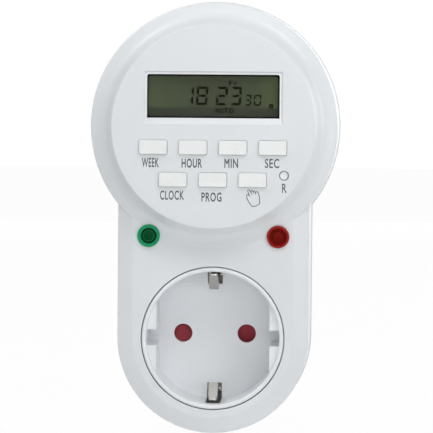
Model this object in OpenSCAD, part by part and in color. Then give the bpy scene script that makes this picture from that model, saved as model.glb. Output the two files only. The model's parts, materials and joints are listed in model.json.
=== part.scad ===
// Plug-in digital timer switch for a side-earthed two-pin outlet.
// Every module is drawn as seen from the front: x to the right, y up, z out of the wall.
// upright() then stands it up, so that the front faces -Y and the plug points to +Y.
// The origin is on the socket's axis, in the plane where the housing meets the wall.

/* [Housing] */
// Radius of the round head where the two shells meet
head_r = 36.9; // [35:0.1:42]
// Half width of the lower body where the two shells meet
body_r = 28.8; // [28.8:0.1:32]
// Height of the head's axis above the socket's axis
head_h = 61.9; // [58:0.1:70]
// Depth of the rear shell, from the wall to the parting plane
rear_d = 12; // [10:0.5:14]
// Depth from the wall to the flat front of the lower body
front_d = 30; // [28.5:0.5:36]
// Thickness of the shell walls
wall_t = 2.2; // [1.8:0.1:2.6]
// Draft angle of the front shell's side walls
draft = 2.8; // [1:0.1:4]
// Width of the sloped shoulder round the lower body
shoulder_w = 4.5; // [3:0.1:5.5]
// Drop of the shoulder from the flat front to the side wall
shoulder_drop = 1.8; // [1:0.1:3]
// Height of the tongue that locates the two shells
tongue_h = 2; // [1.5:0.1:3]
// Lean of the rear shell's side walls towards the wall
rear_lean = 1.3; // [0.5:0.1:2]

/* [Control head] */
// Radius of the raised control disc's face
disc_r = 29.5; // [29:0.1:32]
// Rise of the disc's face above the lower front
disc_rise = 8; // [7:0.1:10]
// Width of the disc's leaning side wall
disc_lean = 2.2; // [1:0.1:2.6]
// Slope angle of the ring round the disc
ring_slope = 15; // [8:1:25]
// Width of the display opening
lcd_w = 38.3; // [34:0.1:38.4]
// Height of the display opening
lcd_h = 12.6; // [10:0.1:12.8]
// Height of the display's centre above the disc's centre
lcd_up = 8.8; // [8.8:0.1:9.2]
// Width of the bevel beside and above the display opening
lcd_bevel = 0.9; // [0.6:0.1:1.2]
// Width of the sloped sill below the display opening
lcd_sill = 1.8; // [0.6:0.1:2.2]
// Thickness of the clear display window
window_t = 1; // [0.6:0.1:1.2]
// Thickness of the liquid crystal cell
glass_t = 2.2; // [1.6:0.1:2.4]

/* [Keys] */
// Width of a key
key_w = 8.2; // [7:0.1:9]
// Height of a key
key_h = 4.2; // [3.4:0.1:4.6]
// Distance from key to key along a row
key_pitch = 11.5; // [11.4:0.1:11.8]
// Drop of the first key row below the disc's centre
row_1 = 6; // [5.8:0.1:6.4]
// Drop of the second key row below the disc's centre
row_2 = 15.3; // [15:0.1:16]
// How far a key stands out of the disc
key_proud = 1.1; // [1:0.1:1.6]
// Travel of a key
key_travel = 0.9; // [0.5:0.1:1]
// Gap round a key in its opening
key_gap = 0.1; // [0.1:0.05:0.2]
// Radius of the reset hole
reset_r = 1.45; // [1.3:0.05:1.5]
// Sideways place of the reset hole
reset_x = 20.6; // [20:0.1:20.8]
// Drop of the reset hole below the disc's centre
reset_drop = 13.9; // [13.5:0.1:14.2]
// How far the reset button lies below the disc's face
reset_sunk = 0.7; // [0.3:0.1:1]
// Travel of the reset button
reset_travel = 0.6; // [0.3:0.1:0.8]

/* [Signal lenses] */
// Radius of a lens
lens_r = 3.3; // [2.8:0.1:3.6]
// Sideways place of each lens
lens_x = 18.9; // [17:0.1:19.5]
// Height of the lenses above the socket's axis
lens_y = 29.9; // [29:0.1:31]

/* [Socket] */
// Radius of the socket recess
recess_r = 19.5; // [19.3:0.1:19.7]
// Depth of the socket recess
recess_d = 17.5; // [17:0.1:17.6]
// Thickness of the socket insert's round wall
insert_t = 1.3; // [1:0.05:1.4]
// Gap between the insert and the front shell
insert_gap = 0.25; // [0.15:0.05:0.3]
// Half width between the flat guide ledges
ledge_x = 16.6; // [16.4:0.1:17]
// How far the ledges end below the rim
ledge_sunk = 1.6; // [1:0.1:3]
// Width of the notch in each ledge
notch_w = 4.7; // [4.4:0.1:5]
// Distance between the two pins
pin_pitch = 19; // [18.8:0.1:19.2]
// Radius of a pin hole
hole_r = 2.75; // [2.6:0.05:2.8]
// Width of the earth contact windows
earth_w = 4.4; // [4:0.1:4.8]
// Inner end of the earth contact windows, from the axis
earth_in = 14.8; // [14.6:0.1:15.2]
// Width of the earth contact fingers
finger_w = 2.7; // [2:0.1:3.2]

/* [Plug] */
// Radius of the plug's round boss
boss_r = 18.3; // [17.8:0.1:18.6]
// Length of the boss from the wall plane
boss_l = 17.3; // [17:0.1:17.5]
// Half width between the boss's flat sides
boss_flat = 16.2; // [15.8:0.1:16.3]
// Radius of a plug pin
pin_r = 2.4; // [2.35:0.05:2.45]
// Length of a plug pin outside the boss
pin_l = 19; // [18.5:0.1:19.5]

/* [Fasteners] */
// Radius of a housing screw's shank
screw_r = 1.3; // [1.1:0.1:1.4]
// Length of a housing screw's shank
screw_l = 14; // [12:0.5:16]
// Radius of a board screw's shank
small_r = 0.85; // [0.7:0.05:0.9]

/* [Hidden] */

$fn = 96;
corner_steps = 5;      // straight steps in a rounded corner of a section
cut = 1;               // how far a cutter passes a face
fit = 0.05;            // sliding clearance of pins, posts and screws in their holes
free = 0.3;            // clearance of inner pieces that must not rub
lap = 0.5;             // how far joined shapes run into each other
pass_gap = 0.2;        // extra radius of a hole that a screw passes
head_gap = 0.15;       // extra radius of a screw head's counterbore
tip_gap = 0.4;         // room past a screw's tip

// Housing levels and radii, all from the wall plane or the socket's axis
disc_z = front_d + disc_rise;
under_z = disc_z - wall_t;
edge_round = 0.8;
face_round = 2.5;
foot_round = 4;
disc_round = 0.6;
shoulder_z = front_d - shoulder_drop;
body_edge = body_r - (shoulder_z - rear_d) * tan(draft);
flat_r = body_edge - shoulder_w;
head_edge = head_r - (front_d - rear_d) * tan(draft);
ring_edge = 0.4;       // the ring meets the lower front's level this far inside the edge
ring_z = front_d - ring_edge * tan(ring_slope);
foot_r = disc_r + disc_lean;
foot_z = front_d + (head_edge - ring_edge - foot_r) * tan(ring_slope);
tongue_t = 1;
tongue_gap = 0.1;
tongue_root = 0.2;     // how far the tongue stands inside the wall
rear_round = 1.5;
seam = 0.25;           // width and height of the shadow groove where the two shells meet

// Screws that join the shells: two in the head, two beside the socket
screw_head_r = screw_r + 1.1;
screw_head_h = 2;
screw_seat = 5;        // depth of the counterbore in the rear shell
post_r = screw_head_r + 0.7;
anchor_r = screw_r + 1.6;                             // boss in the front shell
head_screw = [head_r - wall_t - post_r + 0.3, 50];
body_screw = [recess_r + insert_t + insert_gap + post_r + 0.1, -45];
function polar(p) = [p[0] * cos(p[1]), p[0] * sin(p[1])];
screw_places = concat(
    [for (s = [-1, 1]) let (p = polar(head_screw)) [s * p[0], head_h + p[1]]],
    [for (s = [-1, 1]) let (p = polar(body_screw)) [s * p[0], p[1]]]);

// Display, boards and keys inside the head
pcb_t = 1.6;
pane_lap = 0.95;       // how far the window laps behind its opening
bevel_out = lcd_bevel + cut;                          // the display's bevel and sill as cut
sill_out = lcd_sill * bevel_out / lcd_bevel;
frame_t = 0.8;
frame_seat = 1.2;      // width of the holder's ledges under the display
zebra_h = 1;
zebra_w = 1.8;
board_z = under_z - window_t - glass_t - zebra_h;     // front face of the control board
board_r = disc_r - wall_t - 0.7;
mat_t = 0.8;
mat_rim = 2;           // how much wider the mat is than the keys
dome_h = 0.4;          // the rubber domes, drawn pressed flat
flange_t = 1;
flange_lap = 0.8;
key_stem_r = 1.4;
key_round = 0.5;
key_crown = 0.4;
reset_gap = 0.15;      // clearance of the reset button in its hole
key_foot = board_z + mat_t + dome_h + key_travel;
key_places = [
    [-1.5 * key_pitch, -row_1], [-0.5 * key_pitch, -row_1], [0.5 * key_pitch, -row_1],
    [1.5 * key_pitch, -row_1], [-key_pitch, -row_2], [0, -row_2], [key_pitch, -row_2]];
small_head_r = small_r + 0.9;
small_head_h = 1.1;
small_post_r = small_r + 1;
small_l = 4.5;
pilot_l = 3.6;         // depth of a board screw's pilot hole
post_ring = board_r - small_post_r - tongue_root;     // where the control board's posts stand
control_posts = [for (a = [127.5, 52.5, -90]) post_ring * [cos(a), sin(a)]];

// Power board behind it
power_z = wall_t + 3.2;                                 // rear face of the power board
power_top = power_z + pcb_t;
power_r = head_r - wall_t - 4.5;
power_low = recess_r + insert_t + 4.5;                // lower edge of the board
power_half = body_r - wall_t - 3.5;
power_posts = [[-20, head_h + 14], [20, head_h + 14], [0, power_low + 4]];
chip_s = 9;
chip_t = 1.5;
leg_w = 0.4;
leg_l = 1;
leg_pitch = 0.9;
relay_size = [19, 15.5, 15.3];
relay_at = [-11, head_h - 9];
dropper_size = [18, 8, 14];
dropper_at = [9, head_h + 6];
can_r = 4;
can_l = 12;
can_at = [13.5, head_h - 9];
resistor_at = [0, head_h - 22];
battery_r = 7.7;
battery_h = 5.9;
battery_at = [0, -3];
clip_t = 0.4;
clip_w = 4;
resistor_r = 1.7;
resistor_half = 4.5;
wire_r = 0.75;
tap_in = 9;            // sideways places where the leads reach the power board
tap_out = 16;
crest_in = 11.6;       // heights at which they pass over the boss's edge
crest_out = 9.8;
crest_aside = 2.3;
ribbon_w = 10;
ribbon_t = 0.8;
ribbon_y = head_h + 2 * power_r / 3;

// Signal lamps
lens_lap = 0.4;        // how far a lens laps over the shell round its hole
lens_proud = 0.9;
lens_rim = 0.9;
lens_dish = 0.1;       // depth of the dish below the shell's face
lens_stem = 1.4;       // length of the stem behind the shell
lamp_r = 1.5;
lamp_l = 5;
lamp_gap = 0.15;
lamp_top = front_d - wall_t - 0.3;
leg_gap = 2.5;         // distance between a lamp's legs

// Socket insert and the child-safety shutter behind its floor
insert_r = recess_r + insert_t;
floor_t = 2;
floor_z = front_d - recess_d;
floor_under = floor_z - floor_t;
rim_round = 0.55;
window_low = 4;        // the earth slots end this far below the rim
tab_out = 2.2;         // the clips under the front shell reach this far out
tab_t = 1.8;
tab_angle = 30;
tab_z = front_d - wall_t - fit - max(0, (insert_r + tab_out - flat_r + wall_t) * shoulder_drop / shoulder_w);
rotor_t = 2.2;
rotor_top = floor_under - free;
rotor_low = rotor_top - rotor_t;
pivot_r = 2;
hub_r = 4;
paddle_r = hole_r + 0.9;
arm_w = 2 * paddle_r - 2;
ramp = 0.6;            // share of the paddles that slopes
coil_r = hub_r - 1;    // middle of the return spring's wire
coil_wire = 0.25;
coil_turns = 1.5;

// Contact carrier under the shutter
plate_top = rotor_low - free;
plate_t = 2;
plate_low = plate_top - plate_t;
plate_r = insert_r - 1.2;
pocket_r = hub_r + 0.7;
pocket_d = 1.3;
well_half = 3.5;
well_y = 3.2;
well_t = 0.9;
well_l = 9;
carrier_post = [15, -45];
metal_t = 0.6;
contact_l = 14;
contact_top = plate_top - 0.5;
contact_low = contact_top - contact_l;
contact_bend = 2.5;    // half width of a contact's closed end
contact_waist = 3.5;   // depth of its narrowest place below the mouth
rivet_rim = 0.5;       // how far a pin's riveted end laps over its contact
stub_l = 1.6;          // solder stub of the pin that takes a lead

// Plug boss, pins and the earth bracket
boss_t = 2;
boss_end_t = 3;
boss_room = pin_pitch / 2 + well_half + well_t + free;  // half width of the boss's hollow
channel_w = earth_w + 0.8;
channel_d = 1.5;
slot_gap = 0.2;        // clearance of an earth strip in the floor
rib_half = notch_w / 2 - 0.2;                         // half width of the boss's side ribs
strip_r = boss_r - 0.3;                               // outer face of the earth strips
pin_round = 1.3;
pin_seat_r = pin_r + 0.6;                             // collar of a pin in the boss's end
pin_flange_r = pin_seat_r + lap;
pin_flange_t = 1;
pin_stem_r = 1.4;
flange_z = boss_end_t - boss_l;                       // inner face of the boss's end
pin_top = flange_z + pin_flange_t;
finger_r = strip_r - metal_t / 2;                     // middle of the strips, from the axis
strip_low = plate_low - metal_t;

shell_white = [0.87, 0.89, 0.9];
key_white = [0.93, 0.94, 0.93];
board_green = [0.12, 0.35, 0.2];
steel = [0.68, 0.68, 0.66];
brass = [0.8, 0.66, 0.36];

// ---- shared shapes ----

module upright() rotate([90, 0, 0]) children();

function unit(v) = v / norm(v);

// Points of a rounded corner at b, between the directions of a and c
function corner(a, b, c, r) =
    let (u = unit(a - b), v = unit(c - b), half = acos(u * v) / 2,
        mid = b + unit(u + v) * r / sin(half),
        from = b + u * r / tan(half) - mid, to = b + v * r / tan(half) - mid,
        start = atan2(from[1], from[0]),
        turn = (atan2(to[1], to[0]) - start + 540) % 360 - 180)
    [for (i = [0 : corner_steps]) let (w = start + turn * i / corner_steps) mid + r * [cos(w), sin(w)]];

// Outline of a strip of thickness t whose middle follows the points p
function side_of(p, i, t) =
    let (n = len(p) - 1, u = unit(p[min(i + 1, n)] - p[min(i, n - 1)]),
        v = unit(p[max(i, 1)] - p[max(i - 1, 0)]), w = unit(u + v))
    p[i] + t / 2 / (w * u) * [-w[1], w[0]];
function strip(p, t) = concat([for (i = [0 : len(p) - 1]) side_of(p, i, t)],
    [for (i = [len(p) - 1 : -1 : 0]) side_of(p, i, -t)]);

// A body whose section is revolved below the socket's axis and drawn up to the head's axis
module capsule(pts) {
    rotate_extrude(angle = -180) polygon(pts);
    translate([0, head_h, 0]) rotate([90, 0, 0]) linear_extrude(head_h)
        polygon(concat(pts, [for (i = [len(pts) - 2 : -1 : 1]) [-pts[i][0], pts[i][1]]]));
}

// Round head over the lower body, each from its own half section
module keyhole(head_pts, body_pts) {
    capsule(body_pts);
    translate([0, head_h, 0]) rotate_extrude() polygon(head_pts);
}

// Flat outline of the housing, t inside its widest edge
module plan(t) {
    translate([0, head_h]) circle(head_r - t);
    translate([t - body_r, 0]) square([2 * (body_r - t), head_h]);
    difference() {
        circle(body_r - t);
        translate([-body_r, 0]) square(2 * body_r);
    }
}

// Block of size [w, h] at z = 0 whose sides lean in by bevel over its height d, or by low_lean at the -y side
module tapered_block(w, h, d, bevel, low_lean = 0) {
    low = low_lean > 0 ? low_lean : bevel;
    intersection() {
        translate([0, h / 2, 0]) rotate([90, 0, 0]) linear_extrude(h)
            polygon([[-w / 2, 0], [w / 2, 0], [w / 2 - bevel, d], [bevel - w / 2, d]]);
        translate([-w / 2, 0, 0]) rotate([90, 0, 90]) linear_extrude(w)
            polygon([[-h / 2, 0], [h / 2, 0], [h / 2 - bevel, d], [low - h / 2, d]]);
    }
}

module round_rect(w, h, r) {
    square([w - 2 * r, h], center = true);
    square([w, h - 2 * r], center = true);
    for (x = [-1, 1], y = [-1, 1]) translate([x * (w / 2 - r), y * (h / 2 - r)]) circle(r);
}

// Round tube of radius r swept along the points p, never along the direction side
module swept(p, r, side, sides = 8) {
    n = len(p);
    rings = [for (i = [0 : n - 1])
        let (d = unit(p[min(i + 1, n - 1)] - p[max(i - 1, 0)]), a = unit(cross(d, side)), b = cross(d, a))
        for (k = [0 : sides - 1]) p[i] + r * (cos(k * 360 / sides) * a + sin(k * 360 / sides) * b)];
    polyhedron(rings, concat([[for (k = [0 : sides - 1]) k]],
        [for (i = [0 : n - 2], k = [0 : sides - 1]) let (m = (k + 1) % sides)
            [i * sides + k, (i + 1) * sides + k, (i + 1) * sides + m, i * sides + m]],
        [[for (k = [sides - 1 : -1 : 0]) (n - 1) * sides + k]]));
}

// Curve from a to d, drawn towards b and c
function bend(a, b, c, d, steps = 12) = [for (i = [0 : steps]) let (t = i / steps, s = 1 - t)
    s * s * s * a + 3 * s * s * t * b + 3 * s * t * t * c + t * t * t * d];

module at_disc() translate([0, head_h, 0]) children();

module screw(shank_r, shank_l, head_radius, head_height) {
    translate([0, 0, -head_height]) difference() {
        cylinder(h = head_height, r = head_radius);
        for (a = [0, 90]) rotate(a)
            translate([-head_radius * 0.6, -shank_r * 0.25, -cut])
                cube([head_radius * 1.2, shank_r * 0.5, cut + head_height * 0.5]);
    }
    cylinder(h = shank_l - shank_r, r = shank_r);
    translate([0, 0, shank_l - shank_r]) cylinder(h = shank_r, r1 = shank_r, r2 = shank_r * 0.3);
}

// ---- housing ----

// Foot of the front shell's outer wall, stepped in by the seam groove
function seam_foot(r, low) =
    [[0, low], [r - seam, low], [r - seam, low + seam], [r - seam * tan(draft), low + seam]];

function body_section(t, low) = concat(t == 0 ? seam_foot(body_r, low) : [[0, low], [body_r - t, low]],
    corner([body_r - t, low], [body_edge - t, shoulder_z - t], [flat_r - t, front_d - t], edge_round),
    corner([body_edge - t, shoulder_z - t], [flat_r - t, front_d - t], [0, front_d - t], face_round),
    [[0, front_d - t]]);

function head_section(t, low) =
    let (side = [head_r - t, low], edge = [head_edge - t, ring_z - t],
        foot = [foot_r - t, foot_z - t], rim = [disc_r - t, disc_z - t])
    concat(t == 0 ? seam_foot(head_r, low) : [[0, low], side], corner(side, edge, foot, edge_round),
        corner(edge, foot, rim, foot_round), corner(foot, rim, [0, disc_z - t], disc_round),
        [[0, disc_z - t]]);

function rear_section(r, t, top) = concat([[0, top], [r - t, top]],
    corner([r - t, top], [r - rear_lean - t, t], [0, t], rear_round), [[0, t]]);

module front_shell() color(shell_white) upright() {
    difference() {
        union() {
            difference() {
                keyhole(head_section(0, rear_d), body_section(0, rear_d));
                keyhole(head_section(wall_t, rear_d - cut), body_section(wall_t, rear_d - cut));
                translate([0, 0, rear_d - cut]) linear_extrude(cut + tongue_h + tongue_gap)
                    plan(wall_t - tongue_t - tongue_gap);
            }
            for (p = screw_places) translate([p[0], p[1], rear_d])
                cylinder(h = shoulder_z - wall_t / 2 - rear_d, r = anchor_r);
            at_disc() for (p = control_posts) translate([p[0], p[1], board_z])
                cylinder(h = under_z - board_z + wall_t / 2, r = small_post_r);
        }
        for (p = screw_places) translate([p[0], p[1], rear_d - cut])
            cylinder(h = cut + screw_seat + screw_l - rear_d + tip_gap, r = screw_r + fit);
        at_disc() {
            for (p = control_posts) translate([p[0], p[1], board_z - cut])
                cylinder(h = cut + pilot_l, r = small_r + fit);
            translate([0, lcd_up, 0]) {
                translate([-lcd_w / 2, -lcd_h / 2, under_z - cut]) cube([lcd_w, lcd_h, wall_t + 2 * cut]);
                translate([0, (bevel_out - sill_out) / 2, disc_z + cut]) mirror([0, 0, 1])
                    tapered_block(lcd_w + 2 * bevel_out, lcd_h + bevel_out + sill_out, bevel_out, bevel_out,
                        sill_out);
            }
            for (p = key_places) translate([p[0], p[1], under_z - cut]) linear_extrude(wall_t + 2 * cut)
                round_rect(key_w + 2 * key_gap, key_h + 2 * key_gap, key_round + key_gap);
            translate([reset_x, -reset_drop, under_z - cut]) cylinder(h = wall_t + 2 * cut, r = reset_r);
        }
        for (s = [-1, 1]) translate([s * lens_x, lens_y, front_d - wall_t - cut])
            cylinder(h = wall_t + 2 * cut, r = lens_r - lens_lap + fit);
        for (s = [-1, 1]) translate([s * lens_x, lens_y, front_d])
            cylinder(h = disc_rise, r = lens_r + 2 * fit);
        translate([0, 0, front_d - wall_t - cut])
            cylinder(h = wall_t + 2 * cut, r = insert_r + insert_gap);
    }
}

// Section of the plug's boss, t inside its outer faces
module boss_plan(t) {
    difference() {
        circle(boss_r - t);
        for (x = [0, 1], y = [0, 1]) mirror([x, 0]) mirror([0, y])
            translate([boss_flat - t, rib_half - t]) square(boss_r);
    }
}

module rear_shell() color(shell_white) upright() {
    difference() {
        union() {
            difference() {
                keyhole(rear_section(head_r, 0, rear_d), rear_section(body_r, 0, rear_d));
                keyhole(rear_section(head_r, wall_t, rear_d + cut),
                    rear_section(body_r, wall_t, rear_d + cut));
            }
            difference() {
                translate([0, 0, rear_d - lap]) linear_extrude(tongue_h + lap) difference() {
                    plan(wall_t - tongue_t);
                    plan(wall_t + tongue_root);
                }
                for (p = screw_places) translate([p[0], p[1], rear_d])
                    cylinder(h = tongue_h + cut, r = anchor_r + tongue_gap);
            }
            for (p = screw_places) translate([p[0], p[1], wall_t / 2])
                cylinder(h = rear_d - wall_t / 2, r = post_r);
            for (p = power_posts) translate([p[0], p[1], wall_t / 2])
                cylinder(h = power_z - wall_t / 2, r = small_post_r);
            translate([0, 0, -boss_l]) linear_extrude(boss_l + wall_t / 2) boss_plan(0);
        }
        translate([0, 0, flange_z]) linear_extrude(wall_t - flange_z + cut) intersection() {
            circle(boss_r - boss_t);
            square([2 * boss_room, 2 * (boss_flat - boss_t)], center = true);
        }
        for (s = [-1, 1]) {
            translate([s * pin_pitch / 2, 0, -boss_l - cut])
                cylinder(h = boss_end_t + 2 * cut, r = pin_seat_r + fit);
            rotate(s * 90) translate([boss_r - channel_d, -channel_w / 2, -boss_l - cut])
                cube([2 * channel_d, channel_w, boss_l + cut]);
            rotate(s * 90) translate([strip_r - metal_t - slot_gap, -channel_w / 2, -cut])
                cube([metal_t + 2 * slot_gap, channel_w, wall_t + 2 * cut]);
        }
        for (p = screw_places) translate([p[0], p[1], -cut]) {
            cylinder(h = cut + screw_seat, r = screw_head_r + head_gap);
            cylinder(h = rear_d + 2 * cut, r = screw_r + pass_gap);
        }
        for (p = power_posts) translate([p[0], p[1], wall_t])
            cylinder(h = power_z - wall_t + cut, r = small_r + fit);
    }
}

// ---- socket ----

module socket_insert() color(shell_white) upright() {
    difference() {
        union() {
            rotate_extrude() polygon(concat([[0, floor_under], [insert_r, floor_under]],
                corner([insert_r, floor_under], [insert_r, front_d], [recess_r, front_d], rim_round),
                corner([insert_r, front_d], [recess_r, front_d], [recess_r, floor_z], rim_round),
                [[recess_r, floor_z], [0, floor_z]]));
            translate([0, 0, floor_z - floor_t / 2])
                linear_extrude(front_d - ledge_sunk - floor_z + floor_t / 2) difference() {
                    circle(recess_r + insert_t / 2);
                    square([2 * ledge_x, 3 * recess_r], center = true);
                    square([3 * recess_r, notch_w], center = true);
                }
            for (a = [0 : 90 : 270]) rotate(a - tab_angle / 2) rotate_extrude(angle = tab_angle)
                translate([insert_r - insert_t / 2, tab_z - tab_t])
                    square([insert_t / 2 + tab_out, tab_t]);
            translate([0, 0, plate_top - pocket_d])
                cylinder(h = floor_under + floor_t / 2 - plate_top + pocket_d, r = pivot_r);
            for (s = [0, 180]) rotate(carrier_post[1] + s) translate([carrier_post[0], 0, plate_top])
                cylinder(h = floor_under + floor_t / 2 - plate_top, r = small_post_r);
        }
        for (s = [-1, 1]) {
            translate([s * pin_pitch / 2, 0, floor_under - cut])
                cylinder(h = floor_t + 2 * cut, r = hole_r);
            rotate(s * 90) translate([earth_in, -earth_w / 2, floor_under - cut])
                cube([insert_r + cut - earth_in, earth_w, front_d - window_low - floor_under + cut]);
        }
        for (s = [0, 180]) rotate(carrier_post[1] + s) translate([carrier_post[0], 0, plate_top - cut])
            cylinder(h = cut + small_l - plate_t + tip_gap, r = small_r + fit);
    }
}

// Red disc with two ramped paddles that a plug's pins push aside
module shutter_rotor() color("firebrick") upright() difference() {
    translate([0, 0, rotor_low]) linear_extrude(rotor_t) {
        circle(hub_r);
        square([pin_pitch, arm_w], center = true);
        for (s = [-1, 1]) translate([s * pin_pitch / 2, 0]) circle(paddle_r);
    }
    translate([0, 0, rotor_low - cut]) cylinder(h = rotor_t + 2 * cut, r = pivot_r + fit);
    for (a = [0, 180]) rotate(a) translate([hub_r + fit, 0, rotor_top]) rotate([90, 0, 90])
        linear_extrude(pin_pitch) polygon([[-paddle_r - cut, -rotor_t * ramp], [paddle_r * ramp, 0],
            [paddle_r * ramp, cut], [-paddle_r - cut, cut]]);
}

module shutter_spring() color(steel) upright() {
    low = plate_top - pocket_d + coil_wire;
    rise = pocket_d - 2 * coil_wire;
    swept([for (a = [0 : 20 : coil_turns * 360])
        [coil_r * cos(a), coil_r * sin(a), low + rise * a / coil_turns / 360]], coil_wire, [0, 0, 1]);
}

module contact_carrier() color([0.93, 0.92, 0.86]) upright() difference() {
    union() {
        translate([0, 0, plate_low]) cylinder(h = plate_t, r = plate_r);
        translate([0, 0, plate_top]) linear_extrude(floor_under - plate_top) difference() {
            circle(plate_r);
            circle(plate_r - insert_t);
        }
        for (s = [-1, 1]) translate([s * pin_pitch / 2, 0, plate_low - well_l]) linear_extrude(well_l)
            square([2 * (well_half + well_t), 2 * (well_y + well_t)], center = true);
    }
    for (s = [-1, 1]) {
        translate([s * pin_pitch / 2, 0, plate_low - well_l - cut]) linear_extrude(well_l + plate_t + 2 * cut)
            square([2 * well_half, 2 * well_y], center = true);
        rotate(s * 90) translate([strip_r - metal_t - 2 * free, -channel_w / 2, plate_low - cut])
            cube([plate_r, channel_w, floor_under - plate_low + 2 * cut]);
        rotate(carrier_post[1] + (s + 1) * 90) translate([carrier_post[0], 0, plate_low - cut])
            cylinder(h = plate_t + 2 * cut, r = small_r + 2 * fit);
    }
    translate([0, 0, plate_top - pocket_d]) cylinder(h = pocket_d + cut, r = pocket_r);
}

// Spring clip that grips a pin, open at the top
module grip() color(brass) rotate([90, 0, 0]) translate([0, 0, -well_y]) linear_extrude(2 * well_y)
    polygon(strip([[-well_half + metal_t, contact_top], [-pin_r + fit, contact_top - contact_waist],
        [-contact_bend, contact_low], [contact_bend, contact_low],
        [pin_r - fit, contact_top - contact_waist], [well_half - metal_t, contact_top]], metal_t));

module line_contact() upright() translate([pin_pitch / 2, 0, 0]) grip();

module neutral_contact() color(brass) upright() translate([-pin_pitch / 2, 0, 0]) difference() {
    grip();
    translate([0, 0, contact_low - cut]) cylinder(h = 2 * cut, r = pin_stem_r + fit);
}

// One bent strip: earth fingers of the socket, and below them those of the plug
module earth_bracket() color(steel) upright() {
    dip = 0.5;             // the plug's strips bend in by this much at their ends
    tip = 1.2;             // distance of those ends from the boss's end
    spring_out = 0.6;      // how far the socket's fingers reach past the insert's windows
    knee = floor_z + 9;    // height of that furthest place
    root = floor_z + 1.5;
    lead_in = recess_r - 3 * free;      // where the fingers' front ends flare out to
    end = front_d - window_low - metal_t;
    end_round = 0.4 * finger_w;
    for (s = [0, 1]) mirror([0, s, 0]) rotate([90, 0, 90]) {
        translate([0, 0, -channel_w / 2 + free]) linear_extrude(channel_w - 2 * free)
            polygon(strip([[finger_r - dip, tip - boss_l], [finger_r, boss_end_t + tip - boss_l],
                [finger_r, plate_low]], metal_t));
        intersection() {
            translate([0, 0, -finger_w / 2]) linear_extrude(finger_w)
                polygon(strip([[finger_r, strip_low], [finger_r, root], [earth_in - spring_out, knee],
                    [lead_in, end]], metal_t));
            translate([0, strip_low - finger_w, 0]) rotate([90, 0, 90]) linear_extrude(insert_r)
                translate([(end - strip_low + finger_w) / 2, 0])
                    round_rect(end - strip_low + finger_w, finger_w, end_round);
        }
    }
    translate([-earth_w / 2, -finger_r, strip_low]) cube([earth_w, 2 * finger_r, metal_t]);
}

// ---- plug ----

module plug_pin(stem) {
    rotate_extrude() polygon(concat([[0, -boss_l], [0, -boss_l - pin_l]],
        corner([0, -boss_l - pin_l], [pin_r, -boss_l - pin_l], [pin_r, -boss_l], pin_round),
        [[pin_r, -boss_l]]));
    translate([0, 0, -boss_l]) cylinder(h = boss_end_t, r = pin_seat_r);
    translate([0, 0, flange_z]) cylinder(h = pin_flange_t, r = pin_flange_r);
    translate([0, 0, flange_z]) cylinder(h = stem - flange_z, r = pin_stem_r);
}

module plug_pin_line() color(steel) upright() translate([pin_pitch / 2, 0, 0]) plug_pin(pin_top + stub_l);

module plug_pin_neutral() color(steel) upright() translate([-pin_pitch / 2, 0, 0]) {
    plug_pin(contact_low + metal_t);
    translate([0, 0, contact_low + metal_t / 2]) cylinder(h = metal_t, r = pin_stem_r + rivet_rim);
}

// Smooth curve through the points p
function smooth(p, steps = 4) = concat([for (i = [0 : len(p) - 2], k = [0 : steps - 1])
    let (t = k / steps, a = p[max(i - 1, 0)], b = p[i], c = p[i + 1], d = p[min(i + 2, len(p) - 1)])
    0.5 * (2 * b + (c - a) * t + (2 * a - 5 * b + 4 * c - d) * t * t + (3 * b - a - 3 * c + d) * t * t * t)],
    [p[len(p) - 1]]);

// Lead from a point in the boss, over its edge and up to the underside of the power board
module lead(from, over, to_x) {
    slack = [over[0] + 1, over[1] * 0.6, from[2] * 0.6];
    crest = [over[0], over[1], wall_t + tip_gap];
    between = [(over[0] + to_x) / 2, boss_r + 2 * wire_r, (wall_t + plate_low) / 2];
    swept(smooth([from, slack, crest, between, [to_x, power_low + 4 * wire_r, power_z - wire_r - fit]]),
        wire_r, [1, 0, 0]);
}

// Solder joint on the outside of a contact's closed end
joint_at = [pin_pitch / 2 + contact_bend + metal_t / 2 + wire_r + 0.01, lap, contact_low + stub_l];

module line_in_wire() color("saddlebrown") upright()
    lead([pin_pitch / 2 + 1, pin_stem_r + wire_r, pin_top + 1], [pin_pitch / 2, crest_in], tap_in);

module line_out_wire() color("saddlebrown") upright()
    lead(joint_at, [pin_pitch / 2 + crest_aside, crest_out], tap_out);

module neutral_wire() color("royalblue") upright() mirror([1, 0, 0])
    lead(joint_at, [pin_pitch / 2 + crest_aside, crest_out], tap_out);

// ---- display and control board ----

module lcd_window() color([0.8, 0.85, 0.85, 0.4]) upright() at_disc()
    translate([0, lcd_up, under_z - window_t]) linear_extrude(window_t)
        square([lcd_w + 2 * pane_lap, lcd_h + 2 * pane_lap], center = true);

module lcd_glass() color([0.3, 0.32, 0.25]) upright() at_disc()
    translate([0, lcd_up, board_z + zebra_h]) linear_extrude(glass_t)
        square([lcd_w + 2 * pane_lap, lcd_h + 2 * pane_lap], center = true);

module lcd_holder() color([0.2, 0.2, 0.2]) upright() at_disc() translate([0, lcd_up, board_z]) {
    w = lcd_w + 2 * pane_lap;
    h = lcd_h + 2 * pane_lap;
    linear_extrude(under_z - board_z) difference() {
        square([w + 2 * frame_t, h + 2 * frame_t], center = true);
        square([w, h], center = true);
    }
    for (s = [-1, 1]) translate([s * (w - frame_seat) / 2, 0, 0]) linear_extrude(zebra_h)
        square([frame_seat + fit, h + fit], center = true);
}

module zebra_strip() color("dimgray") upright() at_disc()
    translate([0, lcd_up - lcd_h / 2, board_z]) linear_extrude(zebra_h)
        square([lcd_w - zebra_w / 2, zebra_w], center = true);

module control_board() color(board_green) upright() at_disc() translate([0, 0, board_z - pcb_t])
    linear_extrude(pcb_t) difference() {
        circle(board_r);
        for (p = control_posts) translate(p) circle(small_r + 2 * fit);
    }

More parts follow.
